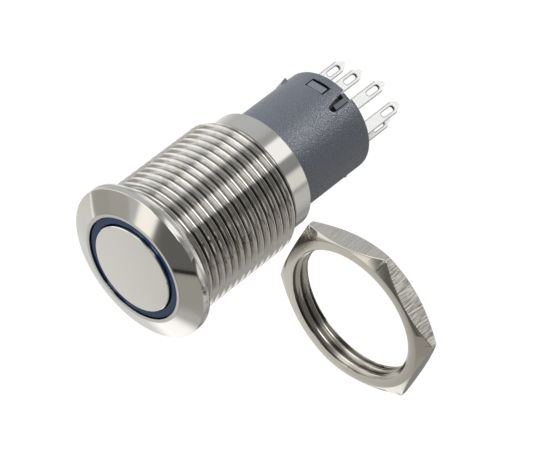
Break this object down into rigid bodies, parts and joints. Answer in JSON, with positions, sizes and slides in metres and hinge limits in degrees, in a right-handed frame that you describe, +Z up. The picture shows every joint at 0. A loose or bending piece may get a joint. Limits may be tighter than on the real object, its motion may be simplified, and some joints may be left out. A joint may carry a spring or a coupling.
{
  "type": "illuminated push button switch",
  "caption": "Panel-mounted illuminated push button switch with round metal bezel, lit ring, threaded barrel, plastic rear shell, flat solder terminals and its loose hex panel nut.",
  "frame": {"origin": "on the barrel's axis, in the plane where the back of the bezel meets the panel", "axes": "+Y along the barrel from the button towards the terminals, +Z up through the middle of the upper catch window, +X towards the loose nut"},
  "size_m": [0.041, 0.0381, 0.0194],
  "materials": {
    "barrel_steel": "bright turned stainless steel",
    "cap_steel": "satin stainless steel",
    "ring_blue": "tinted translucent light guide, unlit",
    "inner_white": "moulded",
    "seal_rubber": "matt",
    "spring_steel": "drawn wire and stamped strip",
    "board_green": "glass fibre board with solder resist",
    "lamp_chip": "moulded lamp chip",
    "resistor_body": "glazed ceramic",
    "lead_insulation": "insulated lead",
    "shell_grey": "fine spark-eroded texture",
    "terminal_tin": "tin plated",
    "lever_copper": "spring copper strip",
    "contact_silver": "polished silver",
    "nut_nickel": "nickel plated, with fine milling marks on the flats"
  },
  "bodies": {
    "switch_body": {"bezel_barrel": "barrel_steel", "light_ring": "ring_blue", "plunger_guide": "inner_white", "return_spring": "spring_steel", "led_board": "board_green", "led_1": "lamp_chip", "led_2": "lamp_chip", "led_3": "lamp_chip", "led_4": "lamp_chip", "led_resistor": "resistor_body", "led_lead_minus": "lead_insulation", "led_lead_plus": "lead_insulation", "rear_housing": "shell_grey", "terminal_base": "shell_grey", "terminal_led_minus": "terminal_tin", "terminal_common": "terminal_tin", "terminal_led_plus": "terminal_tin", "terminal_normally_open": "terminal_tin", "terminal_normally_closed": "terminal_tin", "fixed_contact_open": "contact_silver", "fixed_contact_closed": "contact_silver", "lever_spring": "spring_steel", "hex_nut": "nut_nickel"},
    "button": {"button_cap": "cap_steel", "button_plunger": "inner_white", "plunger_seal": "seal_rubber", "retaining_clip": "spring_steel", "contact_spring": "spring_steel"},
    "contact_arm": {"contact_lever": "lever_copper", "moving_contact": "contact_silver"}
  },
  "joints": [
    {"name": "button_press", "type": "slide", "parent": "switch_body", "child": "button", "axis": [0, 1, 0], "range_m": [0, 0.002], "stiffness_N_per_m": 900, "springref_m": -0.0022, "deforming": ["return_spring", "contact_spring"]},
    {"name": "contact_tilt", "type": "hinge", "parent": "switch_body", "child": "contact_arm", "pos_m": [-0.00286, 0.01705, 0.00165], "axis": [0.5, 0, 0.866], "range_deg": [0, 7], "stiffness_Nm_per_rad": 0.002, "springref_deg": -17.19, "deforming": ["lever_spring"]}
  ],
  "couplings": [
    {"joint": "contact_tilt", "follows": "button_press", "rad_per_m": 61}
  ]
}
